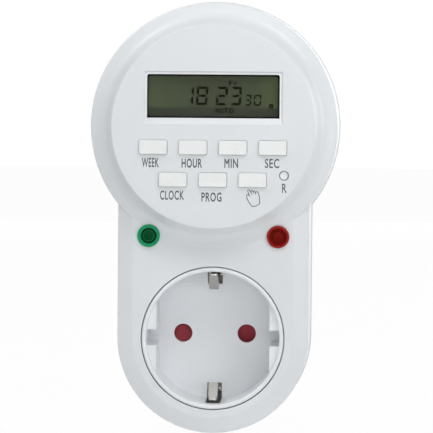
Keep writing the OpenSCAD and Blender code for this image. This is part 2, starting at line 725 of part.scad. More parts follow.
module controller_chip() color([0.13, 0.13, 0.14]) upright() at_disc()
    translate([-battery_r - chip_s + 1, -chip_s - 1, board_z - pcb_t]) mirror([0, 0, 1]) {
        tapered_block(chip_s, chip_s, chip_t, chip_t / 10);
        for (a = [0 : 90 : 270], k = [-4 : 4]) rotate(a)
            translate([chip_s / 2 - leg_w, k * leg_pitch - leg_w / 2, 0])
                cube([leg_w + leg_l, leg_w, leg_w]);
    }

module keypad_mat() color("darkgray") upright() at_disc() translate([0, 0, board_z]) {
    linear_extrude(mat_t) difference() {
        intersection() {
            circle(board_r - free);
            translate([0, -(row_1 + row_2) / 2])
                square([3 * key_pitch + key_w + mat_rim, row_2 - row_1 + key_h + mat_rim], center = true);
        }
        translate(control_posts[2]) circle(small_post_r + free);
    }
    for (p = concat(key_places, [[reset_x, -reset_drop]])) translate([p[0], p[1], mat_t])
        cylinder(h = dome_h, r = key_stem_r + lap);
}

// Key i: cap through the shell, flange behind it and foot towards the rubber dome
module key(i) color(key_white) upright() at_disc() translate([key_places[i][0], key_places[i][1], 0]) {
    translate([0, 0, key_foot]) cylinder(h = under_z - flange_t - key_foot, r = key_stem_r);
    translate([0, 0, under_z - flange_t]) linear_extrude(flange_t)
        square([key_w + 2 * flange_lap, key_h + 2 * flange_lap], center = true);
    translate([0, 0, under_z]) linear_extrude(disc_z + key_proud - key_crown - under_z)
        round_rect(key_w, key_h, key_round);
    translate([0, 0, disc_z + key_proud - key_crown]) intersection() {
        linear_extrude(key_crown) round_rect(key_w, key_h, key_round);
        tapered_block(key_w, key_h, key_crown, key_crown * 0.7);
    }
}

module reset_button() color(key_white) upright() at_disc() translate([reset_x, -reset_drop, 0]) {
    foot = board_z + mat_t + dome_h + reset_travel;
    translate([0, 0, foot]) cylinder(h = under_z - foot, r = reset_r - reset_gap);
    translate([0, 0, under_z - flange_t]) cylinder(h = flange_t, r = reset_r + lap);
    rotate_extrude() polygon(concat([[0, under_z], [reset_r - reset_gap, under_z]],
        corner([reset_r - reset_gap, under_z], [reset_r - reset_gap, disc_z - reset_sunk],
            [0, disc_z - reset_sunk], 0.3),
        [[0, disc_z - reset_sunk]]));
}

module at_battery() at_disc() translate([battery_at[0], battery_at[1], board_z - pcb_t]) children();

module backup_battery() color(steel) upright() at_battery()
    translate([0, 0, -clip_t - battery_h]) {
        cylinder(h = battery_h / 3, r = battery_r - lap);
        translate([0, 0, battery_h / 3]) cylinder(h = battery_h * 2 / 3, r = battery_r);
    }

// Two welded tabs: one between the battery and the board, one over its far face
module battery_clip() color("silver") upright() at_battery() {
    low = -clip_t - battery_h;
    reach = battery_r + clip_w / 3;
    translate([-reach, -clip_w / 2, -clip_t]) cube([reach + battery_r / 2, clip_w, clip_t]);
    rotate([90, 0, 0]) translate([0, 0, -clip_w / 2]) linear_extrude(clip_w)
        polygon(strip([[-1, low - clip_t / 2], [reach, low - clip_t / 2], [reach, 0]], clip_t));
}

// ---- power board ----

module power_board() color(board_green) upright() translate([0, 0, power_z])
    linear_extrude(pcb_t) difference() {
        union() {
            at_disc() circle(power_r);
            translate([-power_half, power_low]) square([2 * power_half, head_h - power_low]);
        }
        for (p = screw_places) translate(p) circle(post_r + lap);
        for (p = power_posts) translate(p) circle(small_r + 2 * fit);
    }

module on_power_board(p) translate([p[0], p[1], power_top]) children();

module relay() color([0.16, 0.2, 0.3]) upright() on_power_board(relay_at) {
    s = relay_size;
    foot = 0.4;
    lid = 0.6;
    translate([0, 0, foot]) linear_extrude(s[2] - foot - lid) round_rect(s[0], s[1], lid);
    translate([0, 0, s[2] - lid]) tapered_block(s[0] - lid, s[1] - lid, lid, foot);
    for (x = [-1, 1], y = [-1, 1]) translate([x * (s[0] / 2 - 2), y * (s[1] / 2 - 2), 0])
        cylinder(h = 2 * foot, r = 2 * foot);
}

module dropper_capacitor() color("goldenrod") upright() on_power_board(dropper_at)
    linear_extrude(dropper_size[2]) round_rect(dropper_size[0], dropper_size[1], 0.8);

module smoothing_capacitor() color([0.12, 0.12, 0.16]) upright() on_power_board(can_at) {
    crimp = 0.4;
    bead = 1.6;            // height where the crimped groove begins
    rotate_extrude() polygon(concat([[0, 0], [can_r, 0], [can_r, bead], [can_r - crimp, bead + crimp],
        [can_r - crimp, bead + 2 * crimp], [can_r, bead + 3 * crimp]],
        corner([can_r, bead], [can_r, can_l], [0, can_l], crimp), [[0, can_l]]));
}

module power_resistor() color([0.35, 0.5, 0.55]) upright() on_power_board(resistor_at)
    translate([0, 0, resistor_r + free]) {
        leg_at = resistor_half + 1.2 * resistor_r;
        rotate([0, 90, 0]) cylinder(h = 2 * resistor_half, r = resistor_r, center = true);
        rotate([0, 90, 0]) cylinder(h = 2 * leg_at, r = leg_w, center = true);
        for (s = [-1, 1]) translate([s * leg_at, 0, -resistor_r - free])
            cylinder(h = resistor_r + free, r = leg_w);
    }

// Flat cable between the two boards
module board_ribbon() color("gainsboro") upright() rotate([90, 0, 90]) {
    stub = 2.5 * ribbon_t;          // straight stretch at each board
    sway = ribbon_w / 2;
    under = board_z - pcb_t;
    reach = (under - power_top) / 3;
    translate([0, 0, -ribbon_w / 2]) linear_extrude(ribbon_w)
        polygon(strip(concat([[ribbon_y, power_top]],
            bend([ribbon_y, power_top + stub], [ribbon_y + sway, power_top + reach],
                [ribbon_y - 1.4 * sway, under - reach], [ribbon_y - stub, under - stub]),
            [[ribbon_y - stub, under]]), ribbon_t));
}

// ---- signal lamps ----

// Cap with a dished front and a hollow stem for the lamp
module lens() difference() {
    stem = lens_r - lens_lap;
    low = front_d - wall_t - lens_stem;
    top = front_d + lens_proud;
    rotate_extrude() polygon(concat([[0, low], [stem, low], [stem, front_d], [lens_r, front_d]],
        corner([lens_r, front_d], [lens_r, top], [lens_r - lens_rim, top], lens_rim / 3),
        [[lens_r - lens_rim * 0.8, top], [lens_r - lens_rim * 1.2, front_d - lens_dish],
        [lens_r / 2, front_d - lens_dish], [lens_r / 2, front_d + lens_dish],
        [lens_r * 0.4, front_d + 2.5 * lens_dish], [0, front_d + 3.5 * lens_dish]]));
    translate([0, 0, low - cut]) cylinder(h = cut + lamp_top + lamp_gap - low, r = lamp_r + lamp_gap);
}

module lamp() {
    low = lamp_top - lamp_l;
    rim = 0.35;
    rotate_extrude() polygon(concat([[0, low], [lamp_r + rim, low], [lamp_r + rim, low + 2 * rim],
        [lamp_r, low + 2 * rim]],
        corner([lamp_r, low + 2 * rim], [lamp_r, lamp_top], [0, lamp_top], lamp_r * 0.8),
        [[0, lamp_top]]));
    for (s = [-1, 1]) translate([(s * leg_gap - leg_w) / 2, -leg_w / 2, power_top])
        cube([leg_w, leg_w, low + rim - power_top]);
}

module at_lens(s) translate([s * lens_x, lens_y, 0]) children();

module green_lens() color("seagreen") upright() at_lens(-1) lens();
module red_lens() color("firebrick") upright() at_lens(1) lens();
module green_led() color("palegreen") upright() at_lens(-1) lamp();
module red_led() color("salmon") upright() at_lens(1) lamp();

// ---- fasteners ----

module housing_screws() color(steel) upright() for (p = screw_places)
    translate([p[0], p[1], screw_seat]) screw(screw_r, screw_l, screw_head_r, screw_head_h);

module board_screws() color(steel) upright() {
    at_disc() for (p = control_posts) translate([p[0], p[1], board_z - pcb_t])
        screw(small_r, small_l, small_head_r, small_head_h);
    for (p = power_posts) translate([p[0], p[1], power_top]) mirror([0, 0, 1])
        screw(small_r, small_l, small_head_r, small_head_h);
}

module carrier_screws() color(steel) upright() for (s = [0, 180]) rotate(carrier_post[1] + s)
    translate([carrier_post[0], 0, plate_low]) screw(small_r, small_l, small_head_r, small_head_h);

front_shell();
rear_shell();
socket_insert();
lcd_window();
lcd_glass();
lcd_holder();
zebra_strip();
control_board();
controller_chip();
keypad_mat();
key(0);  // key_week
key(1);  // key_hour
key(2);  // key_min
key(3);  // key_sec
key(4);  // key_clock
key(5);  // key_prog
key(6);  // key_manual
reset_button();
backup_battery();
battery_clip();
board_ribbon();
power_board();
relay();
dropper_capacitor();
smoothing_capacitor();
power_resistor();
green_lens();
red_lens();
green_led();
red_led();
shutter_rotor();
shutter_spring();
contact_carrier();
carrier_screws();
line_contact();
neutral_contact();
earth_bracket();
plug_pin_line();
plug_pin_neutral();
line_in_wire();
line_out_wire();
neutral_wire();
board_screws();
housing_screws();
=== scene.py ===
import json
import math

import bpy
from mathutils import Matrix, Vector


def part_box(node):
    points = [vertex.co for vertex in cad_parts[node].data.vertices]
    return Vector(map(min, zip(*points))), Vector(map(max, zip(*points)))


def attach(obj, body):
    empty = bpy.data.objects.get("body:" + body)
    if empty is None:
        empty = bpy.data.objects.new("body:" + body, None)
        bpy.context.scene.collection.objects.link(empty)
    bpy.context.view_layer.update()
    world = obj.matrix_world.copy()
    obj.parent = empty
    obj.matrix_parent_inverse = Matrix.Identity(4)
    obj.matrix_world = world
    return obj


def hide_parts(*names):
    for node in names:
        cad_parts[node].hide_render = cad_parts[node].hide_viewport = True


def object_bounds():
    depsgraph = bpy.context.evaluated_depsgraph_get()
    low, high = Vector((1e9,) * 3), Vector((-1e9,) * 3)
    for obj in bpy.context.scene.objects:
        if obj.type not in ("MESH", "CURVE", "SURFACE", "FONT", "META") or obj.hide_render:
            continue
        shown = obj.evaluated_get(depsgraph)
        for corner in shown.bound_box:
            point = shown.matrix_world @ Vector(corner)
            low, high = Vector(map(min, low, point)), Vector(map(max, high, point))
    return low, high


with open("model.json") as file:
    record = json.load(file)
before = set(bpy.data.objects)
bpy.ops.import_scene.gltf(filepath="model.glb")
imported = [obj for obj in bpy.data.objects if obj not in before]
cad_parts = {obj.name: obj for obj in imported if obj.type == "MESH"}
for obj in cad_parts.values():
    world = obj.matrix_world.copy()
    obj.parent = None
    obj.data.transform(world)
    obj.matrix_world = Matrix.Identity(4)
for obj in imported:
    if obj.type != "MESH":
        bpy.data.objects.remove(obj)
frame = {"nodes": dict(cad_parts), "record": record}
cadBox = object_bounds()
cadNodes = frame["nodes"]
slotOf = {part["node"]: part["material_slot"] for part in frame["record"]["subparts"]}
bodyOf = {name: body for body, names in frame["record"]["behaviour"]["bodies"].items() for name in names}
mm = 0.001
weldReach = 0.002 * mm  # loose corners closer than this are one
rounding = 1e-7  # metres; takes up what the arithmetic rounds off


def clearSelection():
    bpy.ops.object.select_all(action="DESELECT")


def makeActive(piece):
    clearSelection()
    piece.select_set(True)
    bpy.context.view_layer.objects.active = piece


def settle(piece):  # puts the object's place, turn and size into its mesh
    makeActive(piece)
    bpy.ops.object.transform_apply(location=True, rotation=True, scale=True)
    return piece


def applyModifier(piece, kind, **settings):
    makeActive(piece)
    modifier = piece.modifiers.new(kind.lower(), kind)
    for name, value in settings.items():
        setattr(modifier, name, value)
    bpy.ops.object.modifier_apply(modifier=modifier.name)


# Selects the vertices that pass the test, and the edges and faces between them
def pickVertices(piece, test):
    makeActive(piece)
    for face in piece.data.polygons:
        face.select = False
    for edge in piece.data.edges:
        edge.select = False
    for vertex in piece.data.vertices:
        vertex.select = test(vertex.co)
    bpy.ops.object.mode_set(mode="EDIT")
    bpy.ops.mesh.select_mode(type="VERT")
    bpy.ops.object.mode_set(mode="OBJECT")


def joinPieces(name, pieces):
    clearSelection()
    for piece in pieces:
        piece.select_set(True)
    bpy.context.view_layer.objects.active = pieces[0]
    bpy.ops.object.join()
    pieces[0].name = name
    return pieces[0]


def placePiece(piece, body, finish):
    piece.data.materials.clear()
    piece.data.materials.append(finish)
    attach(piece, body)


def fromHex(code):  # an sRGB colour as linear light
    parts = [int(code[i:i + 2], 16) / 255 for i in (1, 3, 5)]
    return [c / 12.92 if c <= 0.04045 else ((c + 0.055) / 1.055) ** 2.4 for c in parts] + [1]


# Settings are the node's own or its sockets' values, links come from (node, output), stops colour a ramp
def addNode(tree, kind, settings=None, links=None, stops=()):
    node = tree.nodes.new(kind)
    for n, (share, colour) in enumerate(stops):
        stop = node.color_ramp.elements.new(share) if n > 1 else node.color_ramp.elements[n]
        stop.position, stop.color = share, fromHex(colour)
    for name, value in (settings or {}).items():
        if isinstance(name, str) and hasattr(node, name):
            setattr(node, name, value)
        else:
            node.inputs[name].default_value = value
    for name, (source, output) in (links or {}).items():
        tree.links.new(source.outputs[output], node.inputs[name])
    return node


def startMaterial(name):
    material = bpy.data.materials.new(name)
    material.use_nodes = True
    material.node_tree.nodes.clear()
    return material, material.node_tree


def endMaterial(tree, shader):
    addNode(tree, "ShaderNodeOutputMaterial", links={"Surface": (shader, 0)})


glossSpread = 0.04  # how far the grain moves the roughness either way
coatRough = 0.08  # roughness of a clear coat


# A moulded or coated surface: two close tones in soft clouds, and a fine grain
def mouldedFinish(look):
    material, tree = startMaterial(look["name"])
    place = addNode(tree, "ShaderNodeTexCoord")
    clouds = addNode(tree, "ShaderNodeTexNoise", {"Scale": 1 / (look["cloud"] * mm), "Detail": 2},
                     {"Vector": (place, "Object")})
    tones = addNode(tree, "ShaderNodeMix", {"data_type": "RGBA", 6: fromHex(look["colour"]),
                    7: fromHex(look["shade"])}, {0: (clouds, "Fac")})
    grain = addNode(tree, "ShaderNodeTexNoise", {"Scale": 1 / (look["grain"] * mm), "Detail": 3},
                    {"Vector": (place, "Object")})
    relief = addNode(tree, "ShaderNodeBump", {"Strength": 1, "Distance": look["relief"] * mm},
                     {"Height": (grain, "Fac")})
    gloss = addNode(tree, "ShaderNodeMapRange", {"To Min": look["rough"] - glossSpread,
                    "To Max": look["rough"] + glossSpread}, {"Value": (grain, "Fac")})
    shader = addNode(tree, "ShaderNodeBsdfPrincipled", {"Metallic": look.get("metal", 0),
                     "IOR": look.get("ior", 1.5), "Coat Weight": look.get("coat", 0),
                     "Coat Roughness": coatRough, "Specular IOR Level": look.get("shine", 0.5)},
                     {"Base Color": (tones, 2), "Roughness": (gloss, "Result"),
                      "Normal": (relief, "Normal")})
    endMaterial(tree, shader)
    return material


# colour and shade are the two tones; cloud, grain and relief are in millimetres. The real grains are
# finer, and are drawn as coarse as they need to be to show.
looks = {
    # ABS from a spark-eroded mould: satin, a soft sheen, hardly any visible grain
    "shell_plastic": {"name": "sparkErodedAbs", "colour": "#e5e8ea", "shade": "#e2e5e8",
                      "cloud": 18, "grain": 0.35, "relief": 0.004, "rough": 0.36, "ior": 1.53},
    # moulded polycarbonate of the socket's insert: whiter and a little glossier than the shells
    "insert_plastic": {"name": "mouldedPolycarbonate", "colour": "#eff1f3", "shade": "#ebedf0",
                       "cloud": 14, "grain": 0.35, "relief": 0.003, "rough": 0.3, "ior": 1.58},
    # ABS from a smoother mould: whiter and a little glossier than the shells
    "key_plastic": {"name": "smoothMouldedAbs", "colour": "#f1f3f2", "shade": "#eceeee", "cloud": 6,
                    "grain": 0.25, "relief": 0.002, "rough": 0.28, "ior": 1.53},
    # glass-filled nylon: dull black with a coarse grain
    "black_plastic": {"name": "glassFilledNylon", "colour": "#1a1b1c", "shade": "#232425",
                      "cloud": 3, "grain": 0.3, "relief": 0.006, "rough": 0.5},
    # conductive silicone rubber, sliced: matt dark grey
    "zebra_rubber": {"name": "conductiveSilicone", "colour": "#4a4b4f", "shade": "#55565a",
                     "cloud": 1, "grain": 0.2, "relief": 0.004, "rough": 0.75, "ior": 1.41},
    # moulded silicone rubber of the keypad: matt light grey
    "mat_rubber": {"name": "mouldedSilicone", "colour": "#8b8d90", "shade": "#94969a", "cloud": 4,
                   "grain": 0.2, "relief": 0.004, "rough": 0.7, "ior": 1.41},
    # solder resist on glass-fibre laminate: deep green and glossy, slightly uneven
    "circuit_board": {"name": "glassFibreLaminate", "colour": "#1b5a35", "shade": "#17502f",
                      "cloud": 2, "grain": 0.5, "relief": 0.006, "rough": 0.3, "coat": 0.6},
    # nickel-plated steel, drawn: pale and evenly bright
    "battery_steel": {"name": "nickelPlatedSteel", "colour": "#c9c6be", "shade": "#bdbab2",
                      "cloud": 3, "grain": 0.15, "relief": 0.002, "rough": 0.3, "metal": 1},
    # hard-drawn spring steel: a darker, duller grey
    "spring_steel": {"name": "springSteel", "colour": "#b7b5b0", "shade": "#a9a7a2", "cloud": 2,
                     "grain": 0.15, "relief": 0.003, "rough": 0.35, "metal": 1},
    # extruded soft PVC of the ribbon: dull light grey
    "ribbon_vinyl": {"name": "ribbonVinyl", "colour": "#bfc0c0", "shade": "#b5b6b6", "cloud": 4,
                     "grain": 0.3, "relief": 0.003, "rough": 0.5},
    # moulded polyester of the relay's case: dark blue, smooth
    "relay_case": {"name": "bluePolyester", "colour": "#23345a", "shade": "#1f2f52", "cloud": 5,
                   "grain": 0.25, "relief": 0.003, "rough": 0.35},
    # moulded polyester of the capacitor's case: ochre, smooth and glossy
    "film_capacitor_case": {"name": "ochrePolyester", "colour": "#c99b3a", "shade": "#bf9134",
                            "cloud": 5, "grain": 0.25, "relief": 0.004, "rough": 0.3, "coat": 0.5},
    # PVC sleeve shrunk on the can: nearly black, glossy
    "can_sleeve": {"name": "shrunkVinyl", "colour": "#20222e", "shade": "#262935", "cloud": 4,
                   "grain": 0.3, "relief": 0.002, "rough": 0.3, "coat": 0.4},
    # lacquer baked on a ceramic rod: dull blue-grey, slightly rough
    "resistor_coat": {"name": "resistorLacquer", "colour": "#63798a", "shade": "#596f80",
                      "cloud": 1, "grain": 0.3, "relief": 0.01, "rough": 0.45},
    # cast tinted epoxy of the lamps: pale and glossy
    "green_led_resin": {"name": "greenEpoxy", "colour": "#9fd6a6", "shade": "#8fca97", "cloud": 2,
                        "grain": 0.4, "relief": 0.001, "rough": 0.12, "coat": 0.5},
    "red_led_resin": {"name": "redEpoxy", "colour": "#d98078", "shade": "#cc7069", "cloud": 2,
                      "grain": 0.4, "relief": 0.001, "rough": 0.12, "coat": 0.5},
    # moulded acetal of the shutter: dark red, waxy
    "shutter_plastic": {"name": "redAcetal", "colour": "#a63c46", "shade": "#98323b", "cloud": 2.5,
                        "grain": 0.3, "relief": 0.004, "rough": 0.42, "ior": 1.48, "shine": 0.2},
    # urea moulding of the contact carrier: ivory, hard and a little glossy
    "carrier_plastic": {"name": "mouldedUrea", "colour": "#e3dfcf", "shade": "#dad6c4", "cloud": 4,
                        "grain": 0.3, "relief": 0.003, "rough": 0.35},
    # half-hard sheet brass, rolled: warm yellow, softly bright
    "contact_brass": {"name": "rolledBrass", "colour": "#c9a85a", "shade": "#bb994c", "cloud": 3,
                      "grain": 0.2, "relief": 0.003, "rough": 0.3, "metal": 1},
    # nickel over brass: a neutral silver, softly bright
    "plated_metal": {"name": "nickelPlatedBrass", "colour": "#c6c5c1", "shade": "#b7b6b2",
                     "cloud": 4, "grain": 0.25, "relief": 0.002, "rough": 0.26, "metal": 1},
    # extruded PVC of the wires: full-coloured and satin
    "brown_insulation": {"name": "brownVinyl", "colour": "#5b3a26", "shade": "#523321", "cloud": 3,
                         "grain": 0.3, "relief": 0.002, "rough": 0.42},
    "blue_insulation": {"name": "blueVinyl", "colour": "#2a4c93", "shade": "#254486", "cloud": 3,
                        "grain": 0.3, "relief": 0.002, "rough": 0.42},
    # zinc-plated steel: bluish, slightly streaked
    "screw_steel": {"name": "zincPlatedSteel", "colour": "#b4b7bb", "shade": "#a2a5aa",
                    "cloud": 1.5, "grain": 0.2, "relief": 0.003, "rough": 0.32, "metal": 1},
}
finishes = {slot: mouldedFinish(look) for slot, look in looks.items()}


# Polished acrylic: clear, with only its glints to see
def acrylicFinish():
    look = {"tint": "#10130f", "rough": 0.04, "ior": 1.49, "shine": 0.2, "solid": 0.1, "haze": 9}
    material, tree = startMaterial("polishedAcrylic")
    place = addNode(tree, "ShaderNodeTexCoord")
    haze = addNode(tree, "ShaderNodeTexNoise", {"Scale": 1 / (look["haze"] * mm), "Detail": 1},
                   {"Vector": (place, "Object")})
    gloss = addNode(tree, "ShaderNodeMapRange", {"To Min": look["rough"], "To Max": look["rough"] * 2},
                    {"Value": (haze, "Fac")})
    shader = addNode(tree, "ShaderNodeBsdfPrincipled", {"Base Color": fromHex(look["tint"]),
                     "IOR": look["ior"], "Specular IOR Level": look["shine"], "Alpha": look["solid"]},
                     {"Roughness": (gloss, "Result")})
    endMaterial(tree, shader)
    return material


# Liquid crystal cell: olive polariser film over a grey reflector, darker at its foot; its tone across the
# width is painted light, brighter towards both ends and painted shade through the middle
def crystalFinish():
    low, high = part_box("lcd_glass")
    # the film's tones across the width are painted light: lighter towards both ends, painted shade in the
    # middle
    filmAndPaintedLight = [(0, "#656f51"), (1, "#646e4a"), (0.2, "#5b654c"), (0.55, "#565b47"), (0.82, "#5b634a"),
            (0.92, "#656f4c")]  # share of the width and the tone there
    look = {"band": "#4a4e41", "bandTop": 0.27, "blur": 0.5, "rough": 0.3, "shine": 0.05}
    material, tree = startMaterial("liquidCrystalCell")
    place = addNode(tree, "ShaderNodeTexCoord")
    parts = addNode(tree, "ShaderNodeSeparateXYZ", links={"Vector": (place, "Object")})
    across = addNode(tree, "ShaderNodeMapRange", {"From Min": low.x, "From Max": high.x},
                     {"Value": (parts, "X")})
    tone = addNode(tree, "ShaderNodeValToRGB", links={"Fac": (across, "Result")}, stops=filmAndPaintedLight)
    edge = low.z + (high.z - low.z) * look["bandTop"]
    blur = look["blur"] * mm
    up = addNode(tree, "ShaderNodeMapRange", {"From Min": edge - blur, "From Max": edge + blur},
                 {"Value": (parts, "Z")})
    face = addNode(tree, "ShaderNodeMix", {"data_type": "RGBA", 6: fromHex(look["band"])},
                   {0: (up, "Result"), 7: (tone, "Color")})
    shader = addNode(tree, "ShaderNodeBsdfPrincipled", {"Roughness": look["rough"],
                     "Specular IOR Level": look["shine"]}, {"Base Color": (face, 2)})
    endMaterial(tree, shader)
    return material


# Tinted polycarbonate lens, moulded: rings of tone from the middle out, deep where its stem is thick
# behind; the rim lighter towards its edge, partly thinner plastic and partly a painted highlight
def lensFinish(name, node, tintAndPaintedLight):
    look = {"rough": 0.2, "ior": 1.58, "shine": 0.03}
    low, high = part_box(node)
    centre = (low + high) / 2
    reach = (high.x - low.x) / 2
    material, tree = startMaterial(name)
    place = addNode(tree, "ShaderNodeTexCoord")
    centred = addNode(tree, "ShaderNodeMapping", {"vector_type": "POINT",
                      "Location": (-centre.x, 0, -centre.z)}, {"Vector": (place, "Object")})
    flat = addNode(tree, "ShaderNodeVectorMath", {"operation": "MULTIPLY", 1: (1, 0, 1)},
                   {0: (centred, "Vector")})
    away = addNode(tree, "ShaderNodeVectorMath", {"operation": "LENGTH"}, {0: (flat, "Vector")})
    share = addNode(tree, "ShaderNodeMath", {"operation": "DIVIDE", 1: reach}, {0: (away, "Value")})
    tint = addNode(tree, "ShaderNodeValToRGB", links={"Fac": (share, 0)}, stops=tintAndPaintedLight)
    shader = addNode(tree, "ShaderNodeBsdfPrincipled", {"Roughness": look["rough"], "IOR": look["ior"],
                     "Specular IOR Level": look["shine"]}, {"Base Color": (tint, "Color")})
    endMaterial(tree, shader)
    return material


# Pad-printed ink: thin, matt and slightly uneven
def inkFinish(name, colour, shade, shine):
    return mouldedFinish({"name": name, "colour": colour, "shade": shade, "cloud": 0.8, "grain": 0.2,
                          "relief": 0.002, "rough": 0.55, "shine": shine})


finishes["clear_window"] = acrylicFinish()
finishes["lcd_cell"] = crystalFinish()
# share of the lens's radius and the tone there; on the green lens the light ring round the heart is a
# painted glint, the dark ring inside the rim painted shade and the bright rim a painted highlight
greenTintAndPaintedGlint = [(0, "#004f28"), (0.42, "#004f28"), (0.47, "#2a8a62"), (0.53, "#004422"), (0.66, "#003a1a"),
              (0.73, "#36b87f"), (0.84, "#1f9466"), (1, "#2ba873")]
# the red lens's rim grows lighter towards its edge: partly thinner plastic, partly a painted highlight
redTintAndPaintedHighlight = [(0, "#741107"), (0.62, "#741107"), (0.72, "#94170f"), (0.84, "#962622"), (1, "#a23835")]
finishes["green_lens_plastic"] = lensFinish("greenPolycarbonate", "green_lens", greenTintAndPaintedGlint)
finishes["red_lens_plastic"] = lensFinish("redPolycarbonate", "red_lens", redTintAndPaintedHighlight)
legendInk = inkFinish("greyLegendInk", "#565b61", "#62676d", 0.3)
borderInk = inkFinish("blackBorderInk", "#121513", "#181b19", 0.1)
# the display's own marks are crystal that lets no light back: dark, and without shine
segmentInk = inkFinish("darkCrystalBars", "#1d2013", "#222518", 0)
markInk = inkFinish("darkCrystalMarks", "#16190f", "#1a1d12", 0)
print("materials made:", len(bpy.data.materials))


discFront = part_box("front_shell")[0].y  # the disc's face
discUp = 61.9 * mm  # its centre above the socket's axis


# Gives each corner the mean direction of the faces round it that turn away by less than turnAngle
def evenNormals(piece, turnAngle):
    mesh = piece.data
    near = math.cos(math.radians(turnAngle))
    facesAt = [[] for vertex in mesh.vertices]
    for face in mesh.polygons:
        spots = [mesh.vertices[i].co for i in face.vertices]
        for n, vertex in enumerate(face.vertices):
            back, ahead = spots[n - 1] - spots[n], spots[(n + 1) % len(spots)] - spots[n]
            if back.length > 0 and ahead.length > 0:
                facesAt[vertex].append((face.normal.copy(), face.area * back.angle(ahead)))
    corners = []
    for face in mesh.polygons:
        for vertex in face.vertices:
            mean = face.normal * 1e-12  # so that it is never nil
            for normal, share in facesAt[vertex]:
                if normal.dot(face.normal) > near:
                    mean = mean + normal * share
            corners.append(mean.normalized())
    mesh.shade_smooth()
    mesh.normals_split_custom_set(corners)


# Rounds the rim of the control disc, the shell's foremost plane, by a touch
def breakDiscRim(piece):
    # in millimetres; depth, width and longestEdge tell the rim's own edges from the others
    rim = {"round": 0.22, "segments": 3, "depth": 0.005, "width": 0.02, "longestEdge": 4, "flatAngle": 0.1}

    def onFace(spot):
        return spot.y < discFront + rim["depth"] * mm

    def away(spot):
        return math.hypot(spot.x, spot.z - discUp)

    reach = max(away(vertex.co) for vertex in piece.data.vertices if onFace(vertex.co))

    def onRim(spot):
        return onFace(spot) and away(spot) > reach - rim["width"] * mm

    pickVertices(piece, onFace)
    bpy.ops.object.mode_set(mode="EDIT")
    bpy.ops.mesh.dissolve_limited(angle_limit=math.radians(rim["flatAngle"]))
    bpy.ops.object.mode_set(mode="OBJECT")
    pickVertices(piece, onRim)
    for edge in piece.data.edges:
        start, end = [piece.data.vertices[i].co for i in edge.vertices]
        edge.select = onRim(start) and onRim(end) and (start - end).length < rim["longestEdge"] * mm
    bpy.ops.object.mode_set(mode="EDIT")
    bpy.ops.mesh.select_mode(type="EDGE")
    bpy.ops.mesh.bevel(offset=rim["round"] * mm, segments=rim["segments"], affect="EDGES")
    bpy.ops.object.mode_set(mode="OBJECT")


# Draws the foot of the shell's outer wall in, so that the rear shell shows round it as a narrow ledge
def stepInWall(piece):
    wall = {"headRadius": 36.9, "bodyRadius": 28.8, "top": -27.7, "foot": -12.25,
            "depth": 0.9, "step": 0.28}
    for vertex in piece.data.vertices:
        spot = vertex.co / mm
        fromHead = Vector((spot.x, 0, spot.z - discUp / mm))
        fromBody = Vector((spot.x, 0, spot.z - min(max(spot.z, 0), discUp / mm)))
        pastHead = fromHead.length - wall["headRadius"]
        pastBody = fromBody.length - wall["bodyRadius"]
        outward = fromHead if pastHead < pastBody else fromBody
        share = min(max((spot.y - wall["top"]) / (wall["foot"] - wall["top"]), 0), 1)
        if min(pastHead, pastBody) > -wall["depth"]:
            vertex.co -= outward.normalized() * share * wall["step"] * mm


keyNames = [name for name in cadNodes if name.startswith("key_")]
# the keys' sharp edges are broken by edge millimetres; the angles are in degrees
keyLook = {"edge": 0.08, "segments": 3, "sharpAngle": 40, "flatAngle": 0.5}
smoothed = ["front_shell", "rear_shell", "socket_insert", "reset_button", "shutter_rotor", "earth_bracket",
            "plug_pin_line", "plug_pin_neutral", "housing_screws", "green_lens", "red_lens"] + keyNames
usualTurn = 30  # faces that meet by less than this, in degrees, look like one curve
# the large mouldings meet at shallow angles that stay crisp
turnAngles = {"front_shell": 13, "rear_shell": 13, "socket_insert": 13, "green_lens": 16, "red_lens": 16}
ownFinish = {"socket_insert": "insert_plastic"}  # nodes whose plastic differs from their slot's usual one


# A copy of a node with its loose corners merged, and on a key its flat faces too
def copyNode(name):
    copy = bpy.data.objects.new(name + "_dressed", cadNodes[name].data.copy())
    bpy.context.scene.collection.objects.link(copy)
    makeActive(copy)
    bpy.ops.object.mode_set(mode="EDIT")
    bpy.ops.mesh.select_all(action="SELECT")
    bpy.ops.mesh.remove_doubles(threshold=weldReach)
    if name in keyNames:
        bpy.ops.mesh.dissolve_limited(angle_limit=math.radians(keyLook["flatAngle"]))
    bpy.ops.object.mode_set(mode="OBJECT")
    return copy


# A copy with smooth curves takes the node's place
def dressNode(name):
    copy = copyNode(name)
    if name in keyNames:
        applyModifier(copy, "BEVEL", width=keyLook["edge"] * mm, segments=keyLook["segments"],
                      limit_method="ANGLE", angle_limit=math.radians(keyLook["sharpAngle"]),
                      harden_normals=False)
    if name == "front_shell":
        breakDiscRim(copy)
        stepInWall(copy)
    evenNormals(copy, turnAngles.get(name, usualTurn))
    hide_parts(name)
    placePiece(copy, bodyOf[name], finishes[ownFinish.get(name, slotOf[name])])


for name in smoothed:
    dressNode(name)
for name, node in cadNodes.items():
    if name not in smoothed:
        for place in node.material_slots:
            place.material = finishes[slotOf[name]]
print("nodes dressed:", len(smoothed), "of", len(cadNodes))


keyCentre = {name: sum(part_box(name), Vector()) / 2 for name in keyNames + ["reset_button"]}
printing = {"thick": 0.02, "tall": 2.68, "spacing": 1.12}
# key, words, sideways and downwards place from the key's centre, width, how far the ink spreads
legends = [
    ("key_week", "WEEK", -0.75, 4.43, 4.95, 0.018), ("key_hour", "HOUR", -0.28, 4.5, 5.9, 0.022),
    ("key_min", "MIN", -0.4, 4.46, 3.95, 0.022), ("key_sec", "SEC", -0.14, 4.4, 4.15, 0.014),
    ("key_clock", "CLOCK", -0.18, 4.52, 6.95, 0.017), ("key_prog", "PROG", -0.26, 4.95, 5.8, 0.02),
    ("reset_button", "R", 0.12, 3.62, 1.35, 0.012),
]


